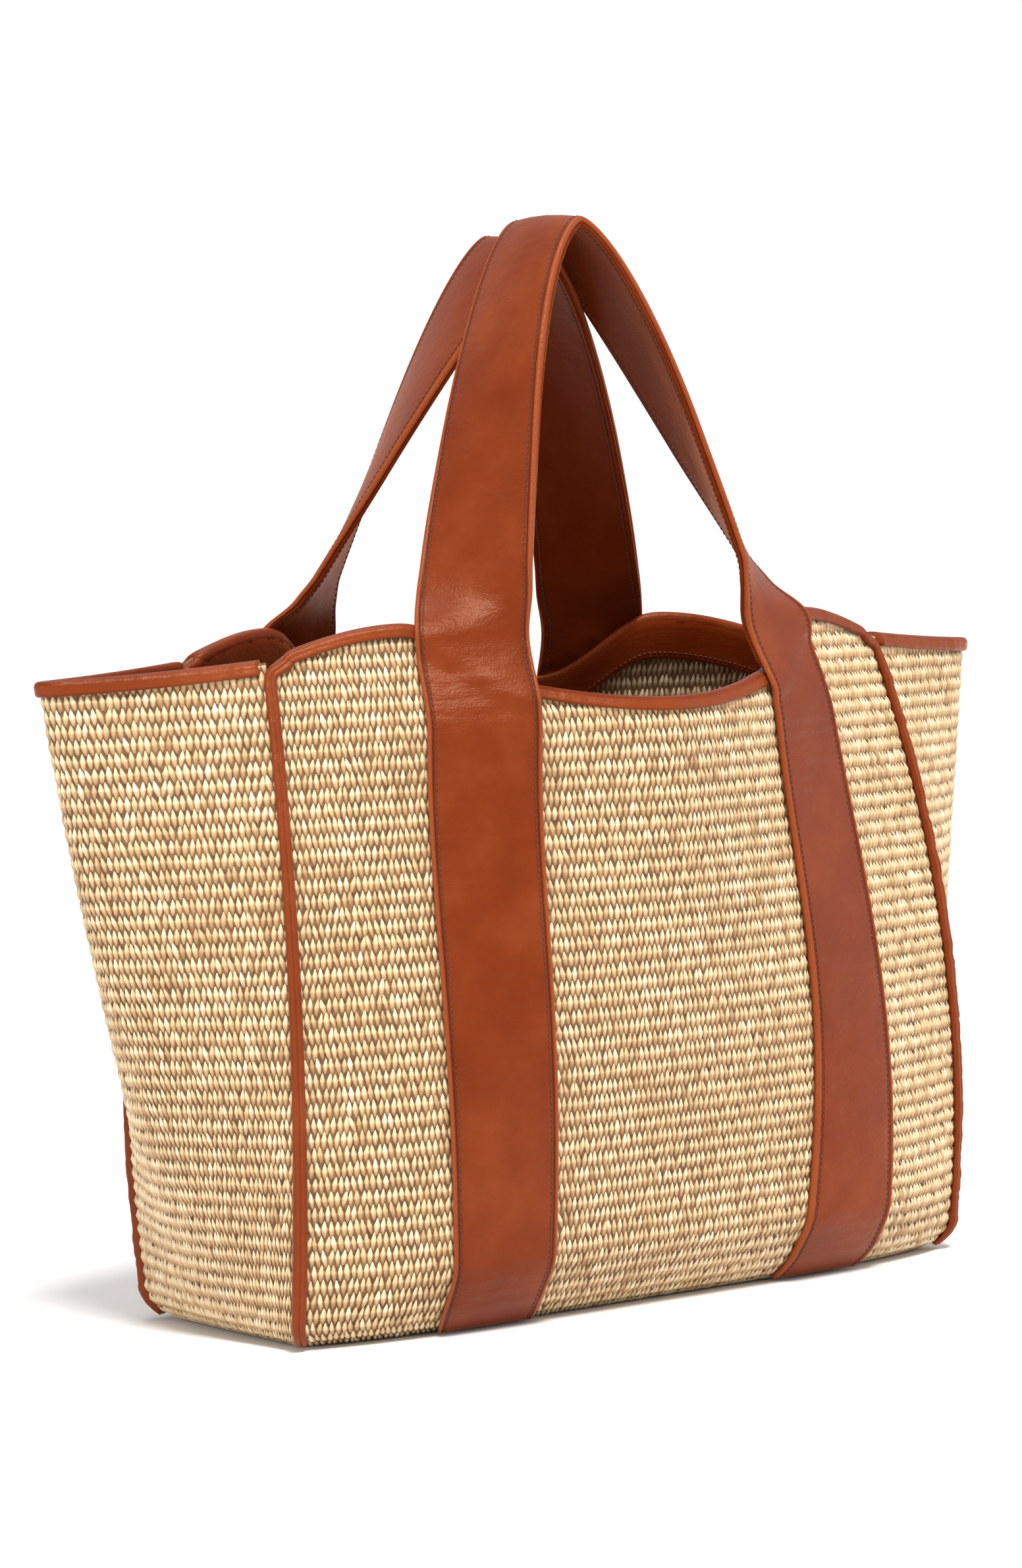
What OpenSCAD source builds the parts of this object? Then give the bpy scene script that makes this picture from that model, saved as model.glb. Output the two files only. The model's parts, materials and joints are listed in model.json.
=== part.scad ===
// Woven straw beach bag with leather straps, bindings and two carrying handles.
// Origin at the centre of the base, +Z up, the front of the bag faces -Y.

/* [Bag body] */
// Width between the side seams at the base
base_width = 364; // [300:1:375]
// Width between the side seams halfway up
middle_width = 361; // [355:1:410]
// Width between the side seams at the rim
rim_width = 335; // [300:1:360]
// Depth between the front and back seams at the base
base_depth = 121; // [90:1:160]
// Depth between the front and back seams halfway up
middle_depth = 136; // [108:1:170]
// Depth between the front and back seams at the rim
rim_depth = 74; // [66:1:150]
// How far each panel bulges beyond its seams at the base
base_bulge = 27; // [13:1:47]
// How far each panel bulges beyond its seams halfway up
middle_bulge = 39.5; // [20:0.5:64]
// How far each panel bulges beyond its seams at the rim
rim_bulge = 69; // [40:1:94]
// How far the lowest part of each panel is drawn in under its bulge
base_tuck = 13; // [0:1:18]
// Fullness of the panel's curve at the base, where 1 is a wedge and 4 is nearly flat
base_fullness = 3.9; // [1:0.1:4.5]
// Fullness of the panel's curve halfway up
middle_fullness = 1.15; // [0.9:0.05:3]
// Fullness of the panel's curve at the rim
rim_fullness = 1; // [0.6:0.05:1.4]
// How far the handles draw the bulge back in at the rim
rim_pull = 22; // [0:1:27]
// Height of the rim at the four corner seams
corner_height = 289; // [282:1:360]
// Radius with which the walls roll under the base
roll_radius = 14; // [13:1:25]
// Thickness of the woven straw
weave_thickness = 3; // [2:0.5:5]

/* [Rim line] */
// How far the rim rises from the corner to the outer edge of each strap
rim_rise = 13; // [0:1:15]
// How far the rim drops between the two straps, below its height outside them
rim_scoop = 28; // [0:1:35]
// Extra sag of the rim midway between the straps
rim_sag = 8; // [0:1:20]

/* [Side wings] */
// How far each gusset folds out beyond the side seams at the rim
wing_reach = 89; // [0:1:110]
// How fast the wing grows from the base to the rim
wing_power = 0.88; // [0.7:0.01:2]
// Roundness of the wing's fold
wing_roundness = 0.28; // [0.1:0.02:0.6]
// How far the rim dips at the wing's fold
wing_dip = 5.5; // [0:0.5:30]

/* [Leather] */
// Width of the straps and handles
strap_width = 50; // [38:1:54]
// Distance between the centres of the two straps at the base
base_pitch = 185; // [160:1:220]
// Distance between the centres of the two straps halfway up
middle_pitch = 188; // [150:1:220]
// Distance between the centres of the two straps at the rim
rim_pitch = 166; // [140:1:200]
// Thickness of the outer strap leather
strap_thickness = 2.4; // [1.5:0.1:2.7]
// Thickness of the handle lining leather
lining_thickness = 1.8; // [1:0.1:2.5]
// Thickness of the binding and facing leather
binding_thickness = 1.5; // [1:0.1:2.3]
// Height of the binding that is folded over the rim
binding_height = 4.5; // [3:0.5:6]
// Width of the seam binding on the panels
seam_width = 4; // [3:0.5:10]
// Depth of the leather facing inside the rim
facing_depth = 21; // [14:1:36]

/* [Handles] */
// Distance between the feet of one handle
foot_pitch = 159; // [153:1:180]
// Distance of the feet behind the line about which the handle folds
foot_setback = 20; // [18:1:30]
// Angle of the feet to the bag's width
foot_turn = 36; // [20:1:50]
// Angle of the legs to the bag's width, just above the feet
leg_turn = 42; // [32:1:60]
// Height of the front handle's top above the base
front_handle_top = 480; // [440:1:560]
// Distance of the front handle's top in front of the middle plane
front_top_offset = 22; // [18:1:40]
// Roundness of the front handle's arch, where 2 is a parabola
front_arch_power = 1.56; // [1.52:0.01:2]
// How fast the front handle's legs finish their twist
front_twist_power = 1.45; // [1:0.05:1.8]
// Tilt of the front handle's top towards the back
front_tilt = -4; // [-8:1:0]
// Height of the back handle's top above the base, under the front one
back_handle_top = 472; // [430:1:472]
// Distance of the back handle's top behind the middle plane
back_top_offset = 4; // [4:1:40]
// Roundness of the back handle's arch
back_arch_power = 1.47; // [1.4:0.01:1.5]
// How fast the back handle's legs finish their twist
back_twist_power = 1; // [1:0.05:2]
// Tilt of the back handle's top towards the front
back_tilt = 12; // [8:1:16]

/* [Hinges] */
// Height of the line about which a handle folds
hinge_height = 300; // [297:1:306]
// Distance of that line from the middle plane
hinge_offset = 86; // [86:1:92]
// Gap between the sewn strap and the moving handle, above and below the line
hinge_gap = 8; // [4:1:12]

/* [Thread] */
// Diameter of the sewing thread
thread_diameter = 0.8; // [0.5:0.1:1.1]
// Distance of the stitches from the strap's edge
stitch_inset = 3.6; // [2:0.2:6]

/* [Hidden] */

straw = "burlywood";
leather = "sienna";
lining_leather = "saddlebrown";
thread = "maroon";

half_strap = strap_width / 2;
nose = 0.4;
tuck_height = 34;
pull_start = 0.88;
pull_end = 1.04;
strap_lean = 0.86;
inner_reach = rim_pitch / 2 - half_strap * strap_lean;
rim_shoulder = 7;
outer_reach = rim_pitch / 2 + half_strap * strap_lean + rim_shoulder;
sewn_gap = 0.35;
inner_gap = weave_thickness + sewn_gap;
inner_face = inner_gap + binding_thickness;
strap_lift = binding_thickness + 2 * sewn_gap;
lift_length = 10;
lift_span = 44;
roll_length = roll_radius * PI / 2;
handle_start = hinge_height + hinge_gap * 3 / 4;
strap_top = hinge_height - hinge_gap / 4;
foot_offset = hinge_offset - foot_setback;
foot_share = 0.12;
settle_share = 0.2;
front_arch = [front_handle_top, front_top_offset, front_arch_power, front_twist_power, front_tilt];
back_arch = [back_handle_top, back_top_offset, back_arch_power, back_twist_power, back_tilt];

across = 24;
gusset_across = 20;
strap_across = 4;
rows = 9;
strap_rows = 12;
lift_rows = 8;
handle_stations = 56;
thread_sides = 4;
roll_steps = [0, 0.25, 0.45, 0.62, 0.81];
foot_step = 2;
rim_fold_share = 0.92;
seam_side = 1 - 2 * seam_width / middle_width;

// ---------- small numeric helpers ----------

function mix(a, b, f) = a * (1 - f) + b * f;
function clamp01(f) = min(1, max(0, f));
function smooth(f) = let(c = clamp01(f)) c * c * (3 - 2 * c);
function unit(p) = p / norm(p);
function flatten(lists) = [for (row = lists) for (p = row) p];

// Value at height share v of a quantity known at the base, halfway up and at the rim.
function through_three(low, middle, top, v) =
    low * (1 - v) * (1 - 2 * v) + 4 * middle * v * (1 - v) + top * v * (2 * v - 1);

// Absolute value of t with a rounded point at zero; it is 0 at 0 and 1 at 1.
function soft_abs(t) = (sqrt(t * t + nose * nose) - nose) / (sqrt(1 + nose * nose) - nose);

// ---------- shape of the woven body ----------

function half_width(v) = through_three(base_width, middle_width, rim_width, v) / 2;
function half_depth(v) = through_three(base_depth, middle_depth, rim_depth, v) / 2;
function bulge(v) =
    through_three(base_bulge, middle_bulge, rim_bulge, v)
    - base_tuck * (1 - smooth(v * corner_height / tuck_height))
    - rim_pull * smooth((v - pull_start) / (pull_end - pull_start));
function fullness(v) = through_three(base_fullness, middle_fullness, rim_fullness, v);
function wing(v) = wing_reach * pow(max(v, 0), wing_power);

// Height and inset of a point that lies up_length along the wall from the base, depth inside it.
function roll_angle(up_length) = 90 * clamp01(up_length / roll_length);
function wall_height(up_length, depth) =
    up_length >= roll_length
        ? roll_radius + up_length - roll_length
        : roll_radius - (roll_radius - depth) * cos(roll_angle(up_length));
function wall_inset(up_length, depth) =
    roll_radius - (roll_radius - depth) * sin(roll_angle(up_length));

// Plan of the front panel: side runs from -1 at the left seam to 1 at the right seam.
function panel_plan(side, v, inset) =
    let(bow = bulge(v) * (1 - pow(soft_abs(side), fullness(v))))
    [(half_width(v) - inset) * side, inset - half_depth(v) - bow];
function panel_point(side, up_length, depth) =
    let(z = wall_height(up_length, depth))
    let(p = panel_plan(side, z / corner_height, wall_inset(up_length, depth)))
    [p[0], p[1], z];

// Outline of the right gusset in plan: side runs from -1 at the front seam to 1 at the back seam.
function wing_profile(side) =
    let(e = wing_roundness)
    (sqrt(1 + e * e) - sqrt(side * side + e * e)) / (sqrt(1 + e * e) - e);
function gusset_plan(side, v, inset) =
    [half_width(v) - inset + wing(v) * wing_profile(side), (half_depth(v) - inset) * side];
function gusset_inward(side, v) =
    let(step = 0.01)
    let(along = unit(gusset_plan(side + step, v, 0) - gusset_plan(side - step, v, 0)))
    let(corner = [-1, -sign(side)])
    mix([-along[1], along[0]], corner, pow(abs(side), 6));

function gusset_point(side, up_length, depth) =
    let(z = wall_height(up_length, depth))
    let(v = z / corner_height)
    let(wall = gusset_plan(side, v, wall_inset(up_length, 0)))
    let(shift = depth * sin(roll_angle(up_length)))
    let(p = wall + shift * gusset_inward(side, v))
    [p[0], p[1], z];

// Length of the wall up to the rim.
function up_to(height) = height - roll_radius + roll_length;
function panel_rim(side) =
    let(reach = abs(side) * rim_width / 2)
    let(share = clamp01((rim_width / 2 - reach) / (rim_width / 2 - outer_reach)))
    let(outer = corner_height + rim_rise * sin(90 * share))
    let(low = corner_height + rim_rise - rim_scoop)
    let(inner = low - rim_sag * (1 - pow(reach / inner_reach, 2)))
    let(f = smooth((reach - inner_reach) / (outer_reach - inner_reach)))
    reach < inner_reach ? inner : mix(low, outer, f);
function gusset_rim(side) = corner_height - wing_dip * (1 - side * side);

// Lengths up the wall at which rows lie: close together round the roll, even, then at the facing's.
function roll_rows(first) = [for (k = [first : len(roll_steps) - 1]) roll_steps[k] * roll_length];
function facing_levels() = [-facing_depth, -(facing_depth + binding_height) / 2, -binding_height - sewn_gap];
function rows_to(rim_height) =
    concat([for (i = [0 : rows - 1]) mix(roll_length, up_to(rim_height) - facing_depth, i / rows)],
           [for (d = facing_levels()) up_to(rim_height) + d]);
function wall_rows(rim_height) = concat(roll_rows(0), rows_to(rim_height), [up_to(rim_height)]);

function panel_sides() = [for (i = [0 : across]) mix(-1, 1, i / across)];
function gusset_sides() = [for (i = [0 : gusset_across]) mix(-1, 1, i / gusset_across)];

// ---------- building blocks ----------

// Closed sheet between two grids of points; the outer grid is seen from outside.
module sheet(outer, inner) {
    n = len(outer);
    m = len(outer[0]);
    half = n * m;
    skin = [for (i = [0 : n - 2]) for (j = [0 : m - 2])
        [i * m + j, i * m + j + 1, (i + 1) * m + j + 1, (i + 1) * m + j]];
    quads = concat(
        skin,
        [for (q = skin) [half + q[0], half + q[3], half + q[2], half + q[1]]],
        [for (j = [0 : m - 2]) [j + 1, j, half + j, half + j + 1]],
        [for (j = [0 : m - 2]) let(a = (n - 1) * m + j) [a, a + 1, half + a + 1, half + a]],
        [for (i = [0 : n - 2]) let(a = i * m) [a, a + m, half + a + m, half + a]],
        [for (i = [0 : n - 2]) let(a = i * m + m - 1) [a + m, a, half + a, half + a + m]]
    );
    faces = flatten([for (q = quads) [[q[0], q[1], q[2]], [q[0], q[2], q[3]]]]);
    polyhedron(points = concat(flatten(outer), flatten(inner)), faces = faces);
}

// Thin thread with a square section along a route; lift is the direction away from the leather.
module thread_run(route, lifts) {
    last = len(route) - 1;
    loops = [for (i = [0 : last])
        let(ahead = unit(route[min(i + 1, last)] - route[max(i - 1, 0)]))
        let(up = lifts[i])
        let(aside = cross(ahead, up) * thread_diameter / 2)
        let(low = route[i] + up * sewn_gap)
        let(high = low + up * thread_diameter)
        [low + aside, high + aside, high - aside, low - aside]];
    sides = [for (i = [0 : last - 1]) for (k = [0 : thread_sides - 1])
        let(a = i * thread_sides + k)
        let(b = i * thread_sides + (k + 1) % thread_sides)
        [[a, b, b + thread_sides], [a, b + thread_sides, a + thread_sides]]];
    end = last * thread_sides;
    caps = [[0, 2, 1], [0, 3, 2], [end, end + 1, end + 2], [end, end + 2, end + 3]];
    polyhedron(points = flatten(loops), faces = concat(flatten(sides), caps));
}

module at_back() {
    rotate([0, 0, 180]) children();
}

module at_left() {
    mirror([1, 0, 0]) children();
}

// ---------- woven pieces ----------

function panel_grid(depth) =
    [for (s = panel_sides()) [for (w = wall_rows(panel_rim(s))) panel_point(s, w, depth)]];
function gusset_grid(depth) =
    [for (q = gusset_sides()) [for (w = wall_rows(gusset_rim(q))) gusset_point(q, w, depth)]];

module panel() {
    color(straw) sheet(panel_grid(0), panel_grid(weave_thickness));
}

module gusset() {
    color(straw) sheet(gusset_grid(0), gusset_grid(weave_thickness));
}

module base_panel() {
    front_edge = [for (s = panel_sides()) let(p = panel_point(s, 0, 0)) [p[0], p[1]]];
    back_edge = [for (p = front_edge) -p];
    color(straw) linear_extrude(weave_thickness) polygon(concat(front_edge, back_edge));
}

// ---------- leather bindings and facings ----------

// Section of the strip folded over a rim, outside first, as lengths below the rim and depths.
function fold_section(out) =
    [[-binding_height, -out], [out - 1, -out], [out, weave_thickness / 2 - 1],
     [out, weave_thickness / 2 + 1], [out - 1, weave_thickness + out],
     [-binding_height, weave_thickness + out]];
function fold_inside() =
    [[-binding_height, -sewn_gap], [sewn_gap, -sewn_gap], [sewn_gap, weave_thickness / 2 - 0.5],
     [sewn_gap, weave_thickness / 2 + 0.5], [sewn_gap, inner_gap], [-binding_height, inner_gap]];

function panel_fold(section) =
    [for (s = panel_sides()) [for (c = section) panel_point(s, up_to(panel_rim(s)) + c[0], c[1])]];
function gusset_fold(section) =
    [for (q = gusset_sides()) let(side = q * rim_fold_share)
        [for (c = section) gusset_point(side, up_to(gusset_rim(side)) + c[0], c[1])]];

module rim_fold_panel() {
    sheet(panel_fold(fold_section(binding_thickness + sewn_gap)), panel_fold(fold_inside()));
}

module rim_fold_gusset() {
    sheet(gusset_fold(fold_section(binding_thickness + sewn_gap)), gusset_fold(fold_inside()));
}

// Strip that wraps the outside of the front-right corner seam from the panel to the gusset.
function seam_rows() =
    concat(roll_rows(foot_step), rows_to(corner_height), [up_to(corner_height) + binding_thickness]);
function seam_grid(lift) = concat(
    [for (s = [seam_side, mix(seam_side, 1, 0.7), 1]) [for (w = seam_rows()) panel_point(s, w, -lift)]],
    [for (q = [-0.985, -0.97]) [for (w = seam_rows()) gusset_point(q, w, -lift)]]);

module seam_fold() {
    sheet(seam_grid(binding_thickness + sewn_gap), seam_grid(sewn_gap));
}

module panel_binding() {
    color(leather) {
        rim_fold_panel();
        seam_fold();
        at_left() seam_fold();
    }
}

module gusset_binding() {
    color(leather) rim_fold_gusset();
}

function panel_facing_grid(depth) =
    [for (s = panel_sides()) [for (d = facing_levels()) panel_point(s, up_to(panel_rim(s)) + d, depth)]];
function gusset_facing_grid(depth) =
    [for (q = gusset_sides()) [for (d = facing_levels()) gusset_point(q, up_to(gusset_rim(q)) + d, depth)]];

module panel_facing() {
    color(lining_leather) sheet(panel_facing_grid(inner_gap), panel_facing_grid(inner_face));
}

module gusset_facing() {
    color(lining_leather) sheet(gusset_facing_grid(inner_gap), gusset_facing_grid(inner_face));
}

// ---------- straps sewn to the panels ----------

// Side position, at a height on the panel, of a line that lies offset from the strap's middle.
function strap_middle(v) = through_three(base_pitch, middle_pitch, rim_pitch, v) / 2;
function panel_along(side, v) = unit(panel_plan(side + 0.01, v, 0) - panel_plan(side - 0.01, v, 0));
function strap_side(offset, up_length) =
    let(v = wall_height(up_length, 0) / corner_height)
    let(middle = strap_middle(v) / half_width(v))
    middle + offset * panel_along(middle, v)[0] / half_width(v);
function strap_offsets() =
    [for (i = [0 : strap_across]) mix(-half_strap, half_strap, i / strap_across)];
function strap_ups() =
    concat(roll_rows(foot_step),
           [for (i = [0 : strap_rows - 1]) mix(roll_length, up_to(strap_top) - lift_span, i / strap_rows)],
           [for (i = [0 : lift_rows]) up_to(strap_top) - lift_span * (1 - i / lift_rows)]);
// The strap rises over the binding where it leaves the panel.
function lift_at(side, w) =
    strap_lift * smooth((w - up_to(panel_rim(side)) + binding_height + lift_length) / lift_length);
function strap_surface(offset, w, height) =
    let(side = strap_side(offset, w))
    panel_point(side, w, -sewn_gap - lift_at(side, w) - height);

module strap() {
    color(leather)
        sheet([for (s = strap_offsets()) [for (w = strap_ups()) strap_surface(s, w, strap_thickness)]],
              [for (s = strap_offsets()) [for (w = strap_ups()) strap_surface(s, w, 0)]]);
}

module strap_stitches() {
    edge = half_strap - stitch_inset;
    color(thread)
        for (s = [-edge, edge]) {
            route = [for (w = strap_ups()) strap_surface(s, w, strap_thickness)];
            lifts = [for (w = strap_ups())
                unit(strap_surface(s, w, strap_thickness + 1) - strap_surface(s, w, strap_thickness))];
            thread_run(route, lifts);
        }
}

// ---------- handles ----------

// Stations from the left end, -1, to the right end, 1, closer together near the ends.
function station(i) =
    let(t = mix(-1, 1, i / handle_stations))
    sign(t) * (1 - pow(1 - abs(t), 1.3));

// An arch is [height of its top, distance in front of the middle plane, roundness, twist power, tilt].
function arch_rise(t, arch) = 1 - pow(abs(t), arch[2]);
function handle_middle(t, arch) =
    let(rise = arch_rise(t, arch))
    [foot_pitch / 2 * t, -mix(foot_offset, arch[1], rise), mix(handle_start, arch[0], rise)];

function handle_ahead(t, arch) =
    let(step = 0.004)
    unit(handle_middle(min(t + step, 1), arch) - handle_middle(max(t - step, -1), arch));

// Angle of the strap to the bag's width: along the panel at the feet, front to back at the top.
function handle_turn(rise, arch) =
    let(turn = 90 - (90 - leg_turn) * pow(1 - rise, arch[3]))
    mix(foot_turn, turn, smooth(rise / foot_share));

// Direction across the strap: level at the feet, square to its run further up.
function handle_aside(t, arch) =
    let(ahead = handle_ahead(t, arch))
    let(rise = arch_rise(t, arch))
    let(turn = handle_turn(rise, arch))
    let(tilt = arch[4] * rise)
    let(side = t < 0 ? -1 : 1)
    let(level = [side * cos(turn) * cos(tilt), sin(turn) * cos(tilt), -sin(tilt)])
    unit(level - (level * ahead) * smooth(rise / settle_share) * ahead);
function handle_outward(t, arch) = unit(cross(handle_ahead(t, arch), handle_aside(t, arch)));

function handle_row(t, arch, height) =
    let(aside = handle_aside(t, arch))
    let(middle = handle_middle(t, arch) + handle_outward(t, arch) * height)
    [for (i = [0 : strap_across]) middle + aside * mix(-half_strap, half_strap, i / strap_across)];

function handle_grid(arch, height) =
    [for (i = [0 : handle_stations]) handle_row(station(i), arch, height)];

module handle_outer(arch) {
    color(leather) sheet(handle_grid(arch, strap_thickness), handle_grid(arch, 0));
}

module handle_lining(arch) {
    color(lining_leather)
        sheet(handle_grid(arch, -sewn_gap), handle_grid(arch, -sewn_gap - lining_thickness));
}

module handle_stitches(arch) {
    edge = half_strap - stitch_inset;
    color(thread)
        for (offset = [-edge, edge]) {
            route = [for (i = [0 : handle_stations])
                let(t = station(i))
                handle_middle(t, arch) + handle_outward(t, arch) * strap_thickness
                    + handle_aside(t, arch) * offset];
            lifts = [for (i = [0 : handle_stations]) handle_outward(station(i), arch)];
            thread_run(route, lifts);
        }
}

// ---------- nodes ----------

panel();  // front_panel
at_back() panel();  // back_panel
at_left() gusset();  // left_gusset
gusset();  // right_gusset
base_panel();
panel_binding();  // front_binding
at_back() panel_binding();  // back_binding
at_left() gusset_binding();  // left_rim_binding
gusset_binding();  // right_rim_binding
panel_facing();  // front_facing
at_back() panel_facing();  // back_facing
at_left() gusset_facing();  // left_facing
gusset_facing();  // right_facing
at_left() strap();  // front_left_strap
strap();  // front_right_strap
at_back() strap();  // back_left_strap
at_back() at_left() strap();  // back_right_strap
handle_outer(front_arch);  // front_handle_outer
handle_lining(front_arch);  // front_handle_lining
at_back() handle_outer(back_arch);  // back_handle_outer
at_back() handle_lining(back_arch);  // back_handle_lining
at_left() strap_stitches();  // front_left_strap_stitches
strap_stitches();  // front_right_strap_stitches
at_back() strap_stitches();  // back_left_strap_stitches
at_back() at_left() strap_stitches();  // back_right_strap_stitches
handle_stitches(front_arch);  // front_handle_stitches
at_back() handle_stitches(back_arch);  // back_handle_stitches
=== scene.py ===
"""Looks of the woven straw beach bag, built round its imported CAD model."""

import json
import math

import bpy
import numpy as np
from mathutils import Matrix, Vector


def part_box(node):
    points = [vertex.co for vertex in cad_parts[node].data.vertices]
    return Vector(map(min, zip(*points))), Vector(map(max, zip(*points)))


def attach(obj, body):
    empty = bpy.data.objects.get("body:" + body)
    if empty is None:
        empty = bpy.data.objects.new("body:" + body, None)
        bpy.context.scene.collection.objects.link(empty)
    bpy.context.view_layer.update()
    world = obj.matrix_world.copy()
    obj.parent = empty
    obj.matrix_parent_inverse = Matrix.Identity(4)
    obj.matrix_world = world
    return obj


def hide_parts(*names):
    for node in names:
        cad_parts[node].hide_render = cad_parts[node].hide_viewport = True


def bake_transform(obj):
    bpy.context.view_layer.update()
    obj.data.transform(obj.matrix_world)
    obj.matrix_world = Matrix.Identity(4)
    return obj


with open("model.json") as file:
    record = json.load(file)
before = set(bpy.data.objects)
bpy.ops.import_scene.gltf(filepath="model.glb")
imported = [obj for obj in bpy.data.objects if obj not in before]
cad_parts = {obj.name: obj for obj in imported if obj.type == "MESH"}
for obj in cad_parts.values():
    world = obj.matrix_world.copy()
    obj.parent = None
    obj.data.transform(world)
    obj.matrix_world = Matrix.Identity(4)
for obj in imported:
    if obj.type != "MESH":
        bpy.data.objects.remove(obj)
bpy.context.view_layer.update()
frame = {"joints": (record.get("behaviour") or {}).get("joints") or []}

# ---------- dimensions, in millimetres ----------

MM = 0.001
CORNER_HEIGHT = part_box("left_gusset")[1].z / MM
# The next five are each given at the base, halfway up and at the rim.
WIDTHS = (364, 361, 335)
DEPTHS = (121, 136, 74)
BULGES = (27, 39.5, 69)
FULLNESSES = (3.9, 1.15, 1.0)
PITCHES = (185, 188, 166)
RIM_HALF = WIDTHS[2] / 2
RIM_PULL, PULL_START, PULL_END = 22, 0.88, 1.04  # how the handles draw the rim in
NOSE = 0.4  # roundness of the bulge at the panel's middle
BASE_TUCK, TUCK_HEIGHT = 13, 34
ROLL_RADIUS = 14
ROLL_LENGTH = ROLL_RADIUS * math.pi / 2
WEAVE = 3
RIM_RISE, RIM_SCOOP, RIM_SAG, RIM_SHOULDER = 13, 28, 8, 7
WING_REACH, WING_POWER, WING_ROUNDNESS, WING_DIP = 89, 0.88, 0.28, 5.5
SEAM_TURN = 6  # how suddenly a gusset's thickness turns square to its seams

HALF_STRAP = 25
STRAP_LEAN = 0.86
INNER_REACH = PITCHES[2] / 2 - HALF_STRAP * STRAP_LEAN
OUTER_REACH = PITCHES[2] / 2 + HALF_STRAP * STRAP_LEAN + RIM_SHOULDER
BINDING, BINDING_HEIGHT, FACING_DEPTH = 1.5, 4.5, 21
SEWN_GAP = 0.35
STRAP_LIFT, LIFT_LENGTH = BINDING + 2 * SEWN_GAP, 10
FOOT = 0.45 * ROLL_LENGTH  # how far round the roll the seams and straps start
CORNER_ROUND = 8
HANDLE_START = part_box("front_handle_outer")[0].z / MM
FOOT_PITCH, FOOT_OFFSET, FOOT_TURN, LEG_TURN = 159, 66, 36, 42
FOOT_SHARE, SETTLE_SHARE = 0.12, 0.2
# Height of the top, distance in front of the middle plane, roundness, twist power, tilt.
FRONT_ARCH = (480, 22, 1.56, 1.45, -4)
BACK_ARCH = (472, 4, 1.47, 1.0, 12)
SLOPE_STEP, ARCH_STEP = 0.01, 0.004  # shares of a half width and of a half arch, for slopes

RNG = np.random.default_rng(7)


# ---------- small numeric helpers ----------


def mix(a, b, f):
    return a * (1 - f) + b * f


def smooth(f):
    f = np.clip(f, 0, 1)
    return f * f * (3 - 2 * f)


def unit(v):
    return v / np.maximum(np.linalg.norm(v, axis=-1, keepdims=True), 1e-9)


def through_three(values, v):
    """Smooth curve through three values, at v = 0, 0.5 and 1."""
    low, middle, top = values
    return low * (1 - v) * (1 - 2 * v) + 4 * middle * v * (1 - v) + top * v * (2 * v - 1)


def run_along(points):
    """Distance run along a line of points, at each of them."""
    return np.concatenate([[0], np.cumsum(np.linalg.norm(np.diff(points, axis=0), axis=1))])


def soft_abs(t):
    """Absolute value of t, rounded off at zero and still 1 at 1."""
    return (np.sqrt(t * t + NOSE * NOSE) - NOSE) / (math.sqrt(1 + NOSE * NOSE) - NOSE)


# ---------- the bag's surfaces, the same formulas as in the CAD model ----------


def half_width(v):
    return through_three(WIDTHS, v) / 2


def half_depth(v):
    return through_three(DEPTHS, v) / 2


def roll_angle(up):
    """Slope of the wall up millimetres along it: level under the bag, upright above the roll."""
    return np.radians(90 * np.clip(up / ROLL_LENGTH, 0, 1))


def wall_height(up, depth):
    rolled = ROLL_RADIUS - (ROLL_RADIUS - depth) * np.cos(roll_angle(up))
    return np.where(up >= ROLL_LENGTH, ROLL_RADIUS + up - ROLL_LENGTH, rolled)


def wall_inset(up, depth):
    return ROLL_RADIUS - (ROLL_RADIUS - depth) * np.sin(roll_angle(up))


def panel_plan(side, v, inset):
    pull = RIM_PULL * smooth((v - PULL_START) / (PULL_END - PULL_START))
    fullness = through_three(FULLNESSES, v)
    tuck = BASE_TUCK * (1 - smooth(v * CORNER_HEIGHT / TUCK_HEIGHT))
    bow = (through_three(BULGES, v) - tuck - pull) * (1 - soft_abs(side) ** fullness)
    return (half_width(v) - inset) * side, inset - half_depth(v) - bow


def same_shape(*values):
    return np.broadcast_arrays(*(np.asarray(value, float) for value in values))


def panel_point(side, up, depth):
    """Point of the front panel: side -1..1 across, up along the wall, depth inward."""
    side, up, depth = same_shape(side, up, depth)
    z = wall_height(up, depth)
    x, y = panel_plan(side, z / CORNER_HEIGHT, wall_inset(up, depth))
    return np.stack([x, y, z], -1)


def gusset_plan(side, v, inset):
    e = WING_ROUNDNESS
    profile = (math.sqrt(1 + e * e) - np.sqrt(side * side + e * e)) / (math.sqrt(1 + e * e) - e)
    wing = WING_REACH * np.maximum(v, 0) ** WING_POWER
    return half_width(v) - inset + wing * profile, (half_depth(v) - inset) * side


def gusset_point(side, up, depth):
    """Point of the right gusset: side -1 at the front seam, 1 at the back seam."""
    side, up, depth = same_shape(side, up, depth)
    z = wall_height(up, depth)
    v = z / CORNER_HEIGHT
    x, y = gusset_plan(side, v, wall_inset(up, 0))
    x1, y1 = gusset_plan(side + SLOPE_STEP, v, 0)
    x0, y0 = gusset_plan(side - SLOPE_STEP, v, 0)
    along = unit(np.stack([x1 - x0, y1 - y0], -1))
    corner = np.abs(side) ** SEAM_TURN
    inward_x = mix(-along[..., 1], -1, corner)
    inward_y = mix(along[..., 0], -np.sign(side), corner)
    shift = depth * np.sin(roll_angle(up))
    return np.stack([x + shift * inward_x, y + shift * inward_y, z], -1)


def base_point(side, across, depth):
    """Point of the base: side -1..1 along X, across -1 at the front and 1 at the back."""
    side, across, depth = same_shape(side, across, depth)
    x, y = panel_plan(side, 0.0, float(ROLL_RADIUS))
    return np.stack([x, -y * across, depth], -1)


def up_to(height):
    """Length along the wall that reaches a height."""
    return height - ROLL_RADIUS + ROLL_LENGTH


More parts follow.
